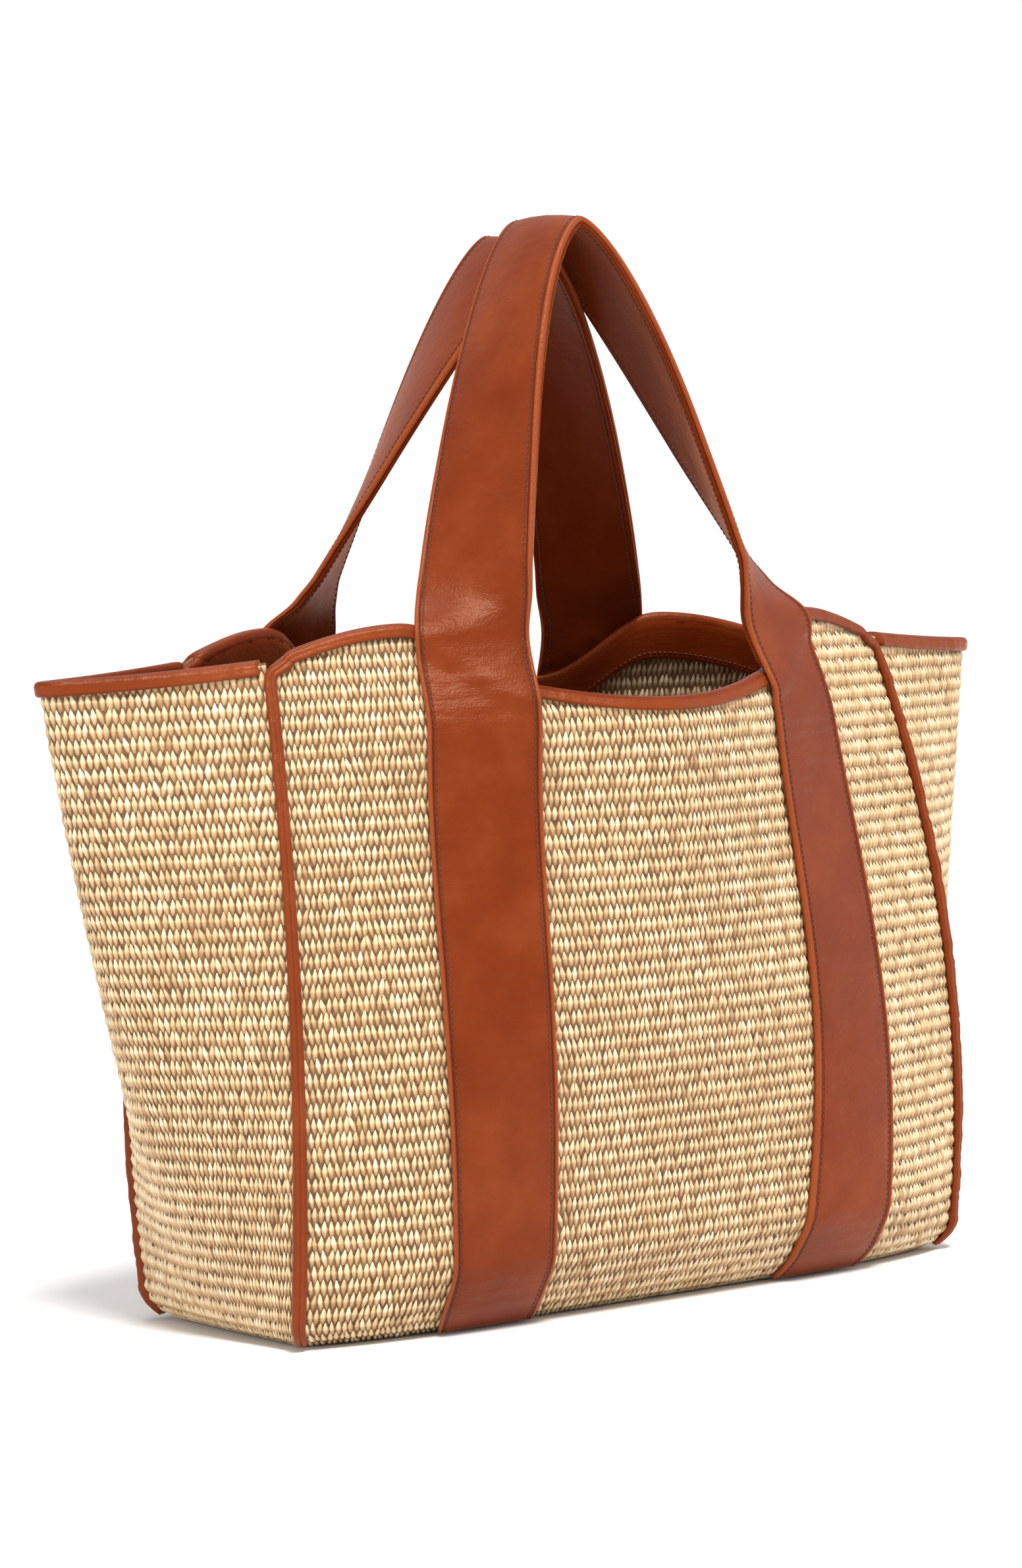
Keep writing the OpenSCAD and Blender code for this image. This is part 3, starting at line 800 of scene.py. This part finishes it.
def binding_piece(name, rings, place):
    # Outer crest of the binding marked paler: wear and painted highlight.
    tone = np.tile(np.where(SECTION_OUT[:, 1] < RIDGE_DEPTH, RIDGE_WEAR_AND_HIGHLIGHT, 0.0), (len(rings), 1))
    piece = tube(name + "_leather", rings[:, ::-1], place, {"edge": tone[:, ::-1]})
    finish_piece(piece, leather)
    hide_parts(name)


def panel_binding(name, place):
    even, inward, run = panel_outline()
    seam = np.abs(inward[:, 0]) ** 2
    width = mix(RIM_STRIP, SEAM_STRIP, seam)
    groove = RIDGE_GROOVE * seam
    rings = binding_rings(panel_point, even, inward, run, RIM_HALF, width, groove, PANEL_SEED)
    binding_piece(name, rings, place)


def gusset_binding(name, place):
    half = DEPTHS[2] / 2
    sides = np.linspace(-WING_END, WING_END, WING_SAMPLES)
    run = run_along(gusset_point(sides, up_to(gusset_rim(sides)), 0.0))
    wanted = np.linspace(0, run[-1], int(run[-1] / PATH_STEP) + 1)
    sides = np.interp(wanted, run, sides)
    even = np.stack([sides * half, up_to(gusset_rim(sides))], -1)
    inward = np.tile([0.0, -1.0], (len(even), 1))
    width, groove = np.full(len(even), WING_STRIP), np.zeros(len(even))
    rings = binding_rings(gusset_point, even, inward, wanted, half, width, groove, WING_SEED)
    binding_piece(name, rings, place)


panel_binding("front_binding", "front")
panel_binding("back_binding", "back")
gusset_binding("right_rim_binding", "right")
gusset_binding("left_rim_binding", "left")

# ---------- leather facings inside the rim ----------

FACING_SECTION = np.array([  # distance below the rim as a share of the facing's depth, and depth
    (0.10, 3.2), (0.10, 4.2), (0.14, 4.75), (0.3, 4.9), (0.5, 4.9), (0.7, 4.9), (0.85, 4.8),
    (0.93, 4.95), (0.98, 4.8), (1.0, 4.3), (1.0, 3.2),
])
FACING_END, FACING_STATIONS = 0.985, 181
FACING_SEWING, FACING_OUT = 0.86, 4.9  # share of the depth at which it is sewn, and its face there
SEWING_LENGTH, SEWING_HALF, SEWING_PITCH = 2.0, 0.3, 2.6


def facing(name, point, rim, place):
    sides = np.linspace(-FACING_END, FACING_END, FACING_STATIONS)
    top = up_to(rim(sides))
    share, depth = FACING_SECTION[:, 0], FACING_SECTION[:, 1]
    ups = top[:, None] - FACING_DEPTH * share[None]
    rings = point(sides[:, None], ups, np.broadcast_to(depth, ups.shape))
    piece = tube(name + "_leather", rings, place)
    finish_piece(piece, lining_leather)
    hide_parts(name)
    sewn_up = top - FACING_DEPTH * FACING_SEWING
    route = point(sides, sewn_up, FACING_OUT)
    lifts = unit(point(sides, sewn_up, FACING_OUT + 1) - route)
    row = sewing(name + "_sewing", [(route, lifts)], place)
    finish_piece(row, thread)


def sewing(name, lines, place):
    """Rows of separate stitches, each a small rounded bar along its line."""
    shares = np.array([0.0, 0.08, 0.35, 0.65, 0.92, 1.0])
    girths = np.array([0.35, 0.85, 1.0, 1.0, 0.85, 0.35])
    sink = np.array([-0.25, 0.0, 0.12, 0.12, 0.0, -0.25])
    angles = np.radians(np.arange(0, 360, 60))
    all_rings = []
    for route, lifts in lines:
        run = run_along(route)
        starts = np.arange(SEWING_PITCH * 0.5, run[-1] - SEWING_PITCH, SEWING_PITCH)
        at = starts[:, None] + shares[None] * SEWING_LENGTH
        centre = np.stack([np.interp(at, run, route[:, k]) for k in range(3)], -1)
        up = unit(np.stack([np.interp(at, run, lifts[:, k]) for k in range(3)], -1))
        ahead = unit(centre[:, -1:] - centre[:, :1])
        aside = unit(np.cross(np.broadcast_to(ahead, up.shape), up))
        centre = centre + up * sink[None, :, None]
        girth = girths[None, :, None, None] * SEWING_HALF
        ring = centre[:, :, None] + girth * (
            np.cos(angles)[None, None, :, None] * aside[:, :, None]
            + np.sin(angles)[None, None, :, None] * up[:, :, None]
        )
        all_rings.append(ring)
    rings = np.concatenate(all_rings)
    count, steps, around = rings.shape[:3]
    side = grid_faces(steps, around, closed=True)
    i = np.arange(1, around - 1)
    first = np.stack([i, i + 1, np.zeros_like(i)], -1)
    last = first[:, [1, 0, 2]] + (steps - 1) * around
    faces = np.concatenate([side[:, [0, 2, 1]], side[:, [0, 3, 2]], first, last])
    every = (faces[None] + (np.arange(count) * steps * around)[:, None, None]).reshape(-1, 3)
    return make_mesh(name, rings, every, place)


facing("front_facing", panel_point, panel_rim, "front")
facing("back_facing", panel_point, panel_rim, "back")
facing("right_facing", gusset_point, gusset_rim, "right")
facing("left_facing", gusset_point, gusset_rim, "left")

# ---------- straps and handles ----------

# Edge tone: above 0 paler, partly wear and partly painted highlight; below 0 darker, painted shade
# in the groove.
STRAP_SECTION = np.array([  # offset from the edge, height above the underside, edge tone
    (0.0, 0.10, 0.3), (-0.05, 1.2, 0.8), (0.20, 2.05, 1.0), (0.80, 2.55, 1.0), (1.50, 2.55, 0.8),
    (2.00, 2.20, -0.3), (2.35, 1.92, -1.0), (2.80, 2.15, -0.3), (4.0, 2.30, 0.0), (7.5, 2.40, 0.0),
    (14.0, 2.45, 0.0),
])
STRAP_MIDDLE = 2.5  # height of its outer face at the middle
UNDER_INSET, UNDER_POINTS = 1, 7
LINING_RING = np.array([  # offset from the edge and depth below the outer leather
    (0.5, 0.1), (0.25, 0.5), (0.25, 1.1), (0.6, 1.65), (1.3, 1.85), (2.0, 1.7), (2.4, 1.6),
    (3.2, 1.8),
])
LINING_FACE, LINING_FLAT, LINING_BACK, LINING_POINTS = 1.85, 18, 20, 5
LINING_GAP = 0.07
SEWN_TOP, HANDLE_FROM = 297, 0.965  # where the sewn strap ends and where the free handle starts
HANDLE_STATIONS, FOOT_CROWDING, SEWN_STEP, BRIDGE_STEPS = 150, 1.15, 1.6, 10
RIPPLE, RIPPLE_FROM = 0.07, 1.8  # how the weave shows through, above this height
CUPPING, CUPPING_SHARE = 2.0, 0.3  # how far the edges of a free handle curl back, and how soon
LINING_END, SKIVED_SHARE = 276, 0.15  # the lining ends thin between strap and panel
SKIVE_START, SKIVE_LENGTH = 1.5, 6
SEWING_INSET, SEWN_HEIGHTS = 3.6, ((2.28, False), (-1.95, True))  # on the strap and the lining


def mirrored(points):
    return points * np.array([-1, 1, 1])


def sewn_rows(up, offset, height, skive):
    """Rows of points of the right strap where it is sewn on."""
    ripple = RIPPLE * np.sin(2 * math.pi * up / ROW_PITCH)[:, None] * (height > RIPPLE_FROM)
    return strap_surface(offset[None], up[:, None], height[None] * skive + ripple)


def handle_rows(t, arch, offset, height):
    """Rows of points of the free handle."""
    aside = handle_aside(t, arch)
    outward = unit(np.cross(handle_ahead(t, arch), aside))
    settled = smooth((1 - np.abs(t)) / CUPPING_SHARE)[:, None]
    raised = height[None] - CUPPING * settled * (offset[None] / HALF_STRAP) ** 2
    level = handle_middle(t, arch)[:, None] + aside[:, None] * offset[None, :, None]
    return level + outward[:, None] * raised[..., None]


def bridge(below, above, count):
    """Rows that lead smoothly from the last two rows of one grid to the first two of the next."""
    start, end = below[-1], above[0]
    reach = np.linalg.norm(end - start, axis=-1, keepdims=True)
    leave = unit(below[-1] - below[-2]) * reach
    arrive = unit(above[1] - above[0]) * reach
    rows = []
    for f in np.arange(1, count) / count:
        a, b = 2 * f**3 - 3 * f**2 + 1, f**3 - 2 * f**2 + f
        c, d = 3 * f**2 - 2 * f**3, f**3 - f**2
        rows.append(a * start + b * leave + c * end + d * arrive)
    return np.array(rows)


def whole_strap(arch, offset, height, inner=False):
    """Rows of points from the left strap's foot, over the handle, to the right strap's foot."""
    share = np.linspace(-1, 1, HANDLE_STATIONS)
    t = np.sign(share) * (1 - (1 - np.abs(share)) ** FOOT_CROWDING) * HANDLE_FROM
    free = handle_rows(t, arch, offset, height)
    up = np.arange(up_to(LINING_END) if inner else FOOT, up_to(SEWN_TOP), SEWN_STEP)
    skive = 1.0
    if inner:
        above_rim = up[:, None] - up_to(panel_rim(strap_side(offset[None], up[:, None])))
        skive = mix(SKIVED_SHARE, 1.0, smooth((above_rim - SKIVE_START) / SKIVE_LENGTH))
    sewn = sewn_rows(up, offset, height, skive)
    right = np.concatenate([sewn, bridge(sewn, free[::-1], BRIDGE_STEPS)])[::-1]
    left = np.concatenate([mirrored(sewn), bridge(mirrored(sewn), free, BRIDGE_STEPS)])
    return np.concatenate([left, free, right])


def strap_ring():
    """Offsets, heights and edge tones round the outer leather."""
    inset, height, tone = STRAP_SECTION.T
    under = np.linspace(HALF_STRAP - UNDER_INSET, UNDER_INSET - HALF_STRAP, UNDER_POINTS)
    flat = np.zeros(UNDER_POINTS)
    offset = np.concatenate([inset - HALF_STRAP, [0], (HALF_STRAP - inset)[::-1], under])
    return (offset, np.concatenate([height, [STRAP_MIDDLE], height[::-1], flat]),
            np.concatenate([tone, [0], tone[::-1], flat]))


def lining_ring():
    """Offsets and heights round the lining, which lies under the outer leather."""
    inset, depth = LINING_RING.T
    face = np.linspace(-LINING_FLAT, LINING_FLAT, LINING_POINTS)
    back = np.linspace(LINING_BACK, -LINING_BACK, LINING_POINTS)
    offset = np.concatenate([inset - HALF_STRAP, face, (HALF_STRAP - inset)[::-1], back])
    depth = np.concatenate([depth, np.full(LINING_POINTS, LINING_FACE), depth[::-1],
                            np.zeros(LINING_POINTS)])
    return offset, -LINING_GAP - depth


def sewing_lines(arch):
    """Routes of the four rows of stitches with the ways up from the leather."""
    reach = HALF_STRAP - SEWING_INSET
    for offset in (-reach, reach):
        for height, inner in SEWN_HEIGHTS:
            heights = (height, height + np.sign(height))
            route, lifted = (whole_strap(arch, np.array([offset]), np.array([h]), inner)[:, 0]
                             for h in heights)
            yield route, unit(lifted - route)


def strap_set(side, arch):
    """The leather of one handle, its lining and its sewing."""
    offset, height, edge = strap_ring()
    rows = whole_strap(arch, offset, height)
    outer = tube(side + "_handle_leather", rows, side, {"edge": np.tile(edge, (len(rows), 1))})
    finish_piece(outer, leather, None)
    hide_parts(side + "_handle_outer", side + "_left_strap", side + "_right_strap")

    rows = whole_strap(arch, *lining_ring(), inner=True)
    lining = tube(side + "_handle_lining_leather", rows[:, ::-1], side)
    finish_piece(lining, lining_leather, None)
    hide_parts(side + "_handle_lining")

    sewn = sewing(side + "_handle_sewing", sewing_lines(arch), side)
    finish_piece(sewn, thread, None)
    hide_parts(side + "_handle_stitches",
                side + "_left_strap_stitches", side + "_right_strap_stitches")

    joint = next(j for j in frame["joints"] if j["name"] == side + "_handle_swing")
    hinge = Vector(joint["pos_m"])
    for piece in (outer, lining, sewn):
        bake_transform(piece)


strap_set("front", FRONT_ARCH)
strap_set("back", BACK_ARCH)

# ---------- camera, light and floor ----------

CAMERA_AZIMUTH, CAMERA_PITCH, CAMERA_ROLL = 35.12, 2.48, -2.25
CAMERA_DISTANCE, CAMERA_LENS = 1.859, 94.15
TARGET_ASIDE, TARGET_HEIGHT = -0.0138, 0.2283


def make_camera():
    azimuth, pitch, roll = (math.radians(a) for a in (CAMERA_AZIMUTH, CAMERA_PITCH, CAMERA_ROLL))
    level = Vector((math.sin(azimuth), math.cos(azimuth), 0))
    ahead = level * math.cos(pitch) - Vector((0, 0, math.sin(pitch)))
    right = Vector((math.cos(azimuth), -math.sin(azimuth), 0))
    up = right.cross(ahead)
    rolled_right = right * math.cos(roll) + up * math.sin(roll)
    rolled_up = up * math.cos(roll) - right * math.sin(roll)
    data = bpy.data.cameras.new("camera")
    data.lens = CAMERA_LENS
    camera = bpy.data.objects.new("camera", data)
    bpy.context.scene.collection.objects.link(camera)
    turn = Matrix((rolled_right, rolled_up, -ahead)).transposed().to_4x4()
    place = right * TARGET_ASIDE + Vector((0, 0, TARGET_HEIGHT)) - ahead * CAMERA_DISTANCE
    camera.matrix_world = Matrix.Translation(place) @ turn
    bpy.context.scene.camera = camera


# Each light: where it shines from, its width in degrees and its power.
LIGHTS = {
    "key": ((-0.30, -0.90, 1.45), 14, 3.1),
    "fill": ((0.85, -0.55, 0.35), 40, 0.45),
    "left": ((-1.0, -0.1, 0.22), 24, 0.75),
    "top": ((0.1, 0.25, 1.0), 30, 0.6),
}
SKY_STRENGTH = 0.55
FLOOR_REACH, FLOOR_PAINT = 9, (0.93, 0.93, 0.93, 1)


def sun_light(name, place, size, power):
    """Soft light that shines from place towards the middle of the scene."""
    data = bpy.data.lights.new(name, "SUN")
    data.energy = power
    data.angle = math.radians(size)
    light = bpy.data.objects.new(name, data)
    bpy.context.scene.collection.objects.link(light)
    light.rotation_mode = "QUATERNION"
    light.rotation_quaternion = (-Vector(place)).to_track_quat("-Z", "Y")


def make_floor():
    corners = np.array([[-1, -1, 0], [1, -1, 0], [1, 1, 0], [-1, 1, 0]]) * FLOOR_REACH / MM
    floor = make_mesh("floor", corners, [[0, 1, 2, 3]])
    paint = Nodes("floor_paint")
    paint.shader.inputs["Base Color"].default_value = FLOOR_PAINT
    paint.shader.inputs["Roughness"].default_value = 0.9
    paint.shader.inputs["Specular IOR Level"].default_value = 0.0
    floor.data.materials.append(paint.material)


def make_world():
    """White light from all round, with a plain white backdrop behind the floor."""
    world = bpy.data.worlds.new("world")
    world.use_nodes = True
    nodes, links = world.node_tree.nodes, world.node_tree.links
    sky = nodes["Background"]
    sky.inputs["Strength"].default_value = SKY_STRENGTH
    backdrop = nodes.new("ShaderNodeBackground")
    for background in (sky, backdrop):
        background.inputs["Color"].default_value = (1, 1, 1, 1)
    seen = nodes.new("ShaderNodeLightPath")
    either = nodes.new("ShaderNodeMixShader")
    links.new(seen.outputs["Is Camera Ray"], either.inputs["Fac"])
    links.new(sky.outputs[0], either.inputs[1])
    links.new(backdrop.outputs[0], either.inputs[2])
    links.new(either.outputs[0], nodes["World Output"].inputs["Surface"])
    bpy.context.scene.world = world


make_camera()
make_floor()
make_world()
bpy.context.scene.view_settings.view_transform = "Standard"
for light, settings in LIGHTS.items():
    sun_light(light, *settings)
